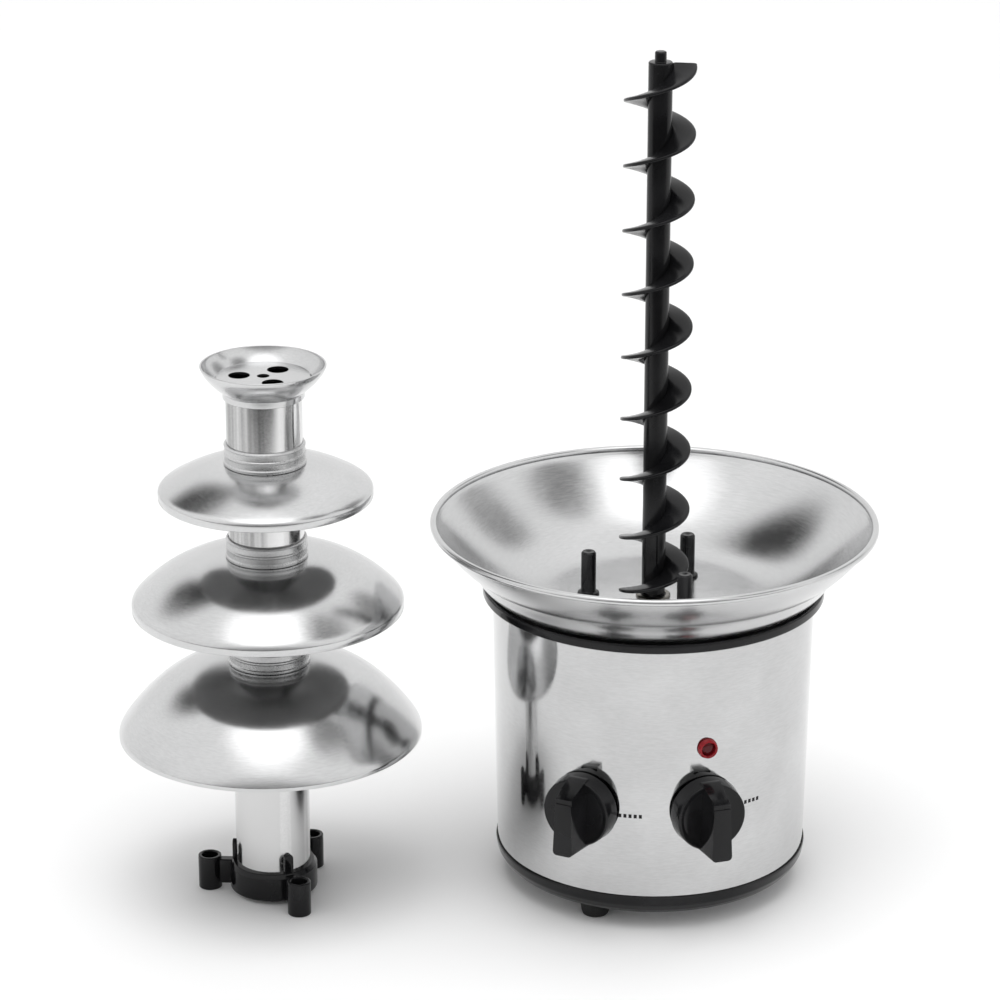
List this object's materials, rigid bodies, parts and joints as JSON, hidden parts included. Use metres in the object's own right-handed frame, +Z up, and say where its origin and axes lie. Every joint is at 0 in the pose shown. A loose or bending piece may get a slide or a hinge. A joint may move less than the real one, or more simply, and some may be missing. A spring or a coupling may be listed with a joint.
{
  "type": "chocolate fountain",
  "caption": "Table-top chocolate fountain: heated steel base with flared bowl, auger and control knobs, and a separate tier tower of domed steel skirts that lifts onto posts in the bowl.",
  "frame": {"origin": "centre of the whole set's box in plan, on the surface it stands on", "axes": "+Z up along the auger and the tower; the controls face -Y; the base unit stands at +X and the tower at -X"},
  "size_m": [0.373, 0.22, 0.4217],
  "materials": {
    "shell_steel": "satin polished sheet",
    "bowl_steel": "mirror polished sheet",
    "tower_steel": "mirror polished sheet",
    "collar_steel": "brushed",
    "black_plastic": "gloss moulded",
    "auger_plastic": "gloss moulded",
    "post_plastic": "semi-gloss moulded",
    "rubber_black": "matt",
    "zinc_steel": "zinc plated",
    "shaft_steel": "ground",
    "bush_brass": "turned",
    "heater_aluminium": "cast, machined face",
    "heater_sheath": "dull sheath",
    "cutout_resin": "matt resin",
    "gear_plastic": "natural moulded",
    "motor_steel": "plated",
    "motor_cap_plastic": "matt moulded",
    "coil_copper": "varnished copper wire",
    "lamp_red": "gloss moulded",
    "lamp_lens_red": "clear tinted"
  },
  "bodies": {
    "base": {"housing_shell": "shell_steel", "bowl": "bowl_steel", "top_ring": "black_plastic", "bottom_ring": "black_plastic", "cord_gland": "black_plastic", "post_left": "post_plastic", "post_front": "post_plastic", "post_rear": "post_plastic", "foot_front": "rubber_black", "foot_right": "rubber_black", "foot_rear": "rubber_black", "bowl_gasket": "rubber_black", "shaft_seal": "rubber_black", "base_plate": "zinc_steel", "foot_screws": "zinc_steel", "tie_rods": "zinc_steel", "bush_nut": "zinc_steel", "bracket_standoffs": "zinc_steel", "motor_bracket": "zinc_steel", "bracket_screws": "zinc_steel", "gearbox_screws": "zinc_steel", "idler_pin": "zinc_steel", "panel_nuts": "zinc_steel", "shaft_bush": "bush_brass", "heater_plate": "heater_aluminium", "heater_tube": "heater_sheath", "thermal_cutout": "cutout_resin", "gearbox_case": "gear_plastic", "gearbox_cover": "gear_plastic", "terminal_block": "gear_plastic", "motor_can": "motor_steel", "motor_stator": "motor_steel", "motor_end_cap": "motor_cap_plastic", "motor_switch": "motor_cap_plastic", "heat_control": "motor_cap_plastic", "motor_coils": "coil_copper", "lamp_bezel": "lamp_red", "lamp_lens": "lamp_lens_red"},
    "drive": {"drive_shaft": "shaft_steel", "output_gear": "gear_plastic"},
    "auger": {"auger_core": "auger_plastic", "auger_flight": "auger_plastic"},
    "idler": {"idler_gear": "gear_plastic"},
    "rotor": {"rotor": "motor_steel", "motor_pinion": "bush_brass"},
    "motor_knob": {"motor_knob": "black_plastic", "motor_spindle": "shaft_steel"},
    "heat_knob": {"heat_knob": "black_plastic", "heat_spindle": "shaft_steel"},
    "tower": {"tower_tube": "tower_steel", "tier_top": "tower_steel", "tier_middle": "tower_steel", "tier_bottom": "tower_steel", "collar_top": "collar_steel", "collar_middle": "collar_steel", "collar_bottom": "collar_steel", "crown_cup": "tower_steel", "auger_guide": "tower_steel", "tower_foot": "black_plastic"}
  },
  "joints": [
    {"name": "drive_spin", "type": "hinge", "parent": "base", "child": "drive", "pos_m": [0.07649, 0, 0.147], "axis": [0, 0, 1], "continuous": true},
    {"name": "auger_lift", "type": "slide", "parent": "drive", "child": "auger", "axis": [0, 0, 1], "range_m": [0, 0.15]},
    {"name": "idler_spin", "type": "hinge", "parent": "base", "child": "idler", "pos_m": [0.06545, 0.02265, 0.108], "axis": [0, 0, 1], "continuous": true},
    {"name": "rotor_spin", "type": "hinge", "parent": "base", "child": "rotor", "pos_m": [0.07649, 0, 0.075], "axis": [0, 0, 1], "continuous": true},
    {"name": "motor_knob_turn", "type": "hinge", "parent": "base", "child": "motor_knob", "pos_m": [0.04186, -0.06947, 0.065], "axis": [0.4462, 0.8949, 0], "range_deg": [0, 90]},
    {"name": "heat_knob_turn", "type": "hinge", "parent": "base", "child": "heat_knob", "pos_m": [0.09983, -0.07403, 0.065], "axis": [-0.3007, 0.9537, 0], "range_deg": [0, 270]},
    {"name": "tower_lift", "type": "slide", "parent": "base", "child": "tower", "axis": [0, 0, 1], "range_m": [0, 0.25]}
  ],
  "couplings": [
    {"joint": "idler_spin", "follows": "drive_spin", "ratio": -3},
    {"joint": "rotor_spin", "follows": "drive_spin", "ratio": 9}
  ]
}
